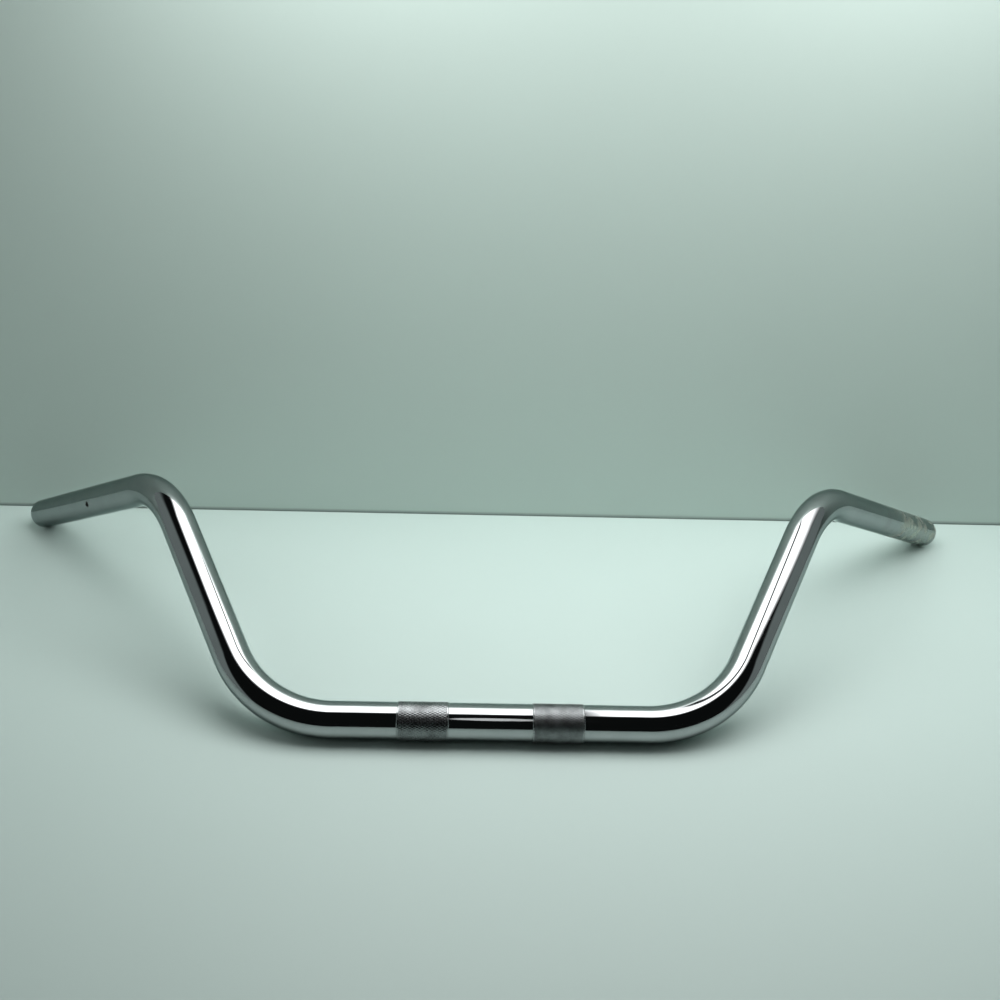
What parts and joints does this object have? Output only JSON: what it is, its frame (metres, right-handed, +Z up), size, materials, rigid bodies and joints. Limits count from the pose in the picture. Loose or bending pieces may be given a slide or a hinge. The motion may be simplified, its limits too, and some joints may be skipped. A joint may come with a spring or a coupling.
{
  "type": "motorcycle handlebar",
  "caption": "Wide one-piece tubular handlebar with bent-up risers, swept-back grips, knurled clamp bands and open chamfered ends.",
  "frame": {"origin": "middle of the clamp section, on the axis of the tube", "axes": "+X along the clamp section towards the right grip, +Y towards the rider, +Z up from the surface that the bar rests on"},
  "size_m": [0.7222, 0.2722, 0.1],
  "materials": {
    "chrome_tube": "polished chrome plate, knurled satin at the clamp bands, dull bare steel in the bore"
  },
  "bodies": {
    "root": {"handlebar": "chrome_tube"}
  },
  "joints": []
}
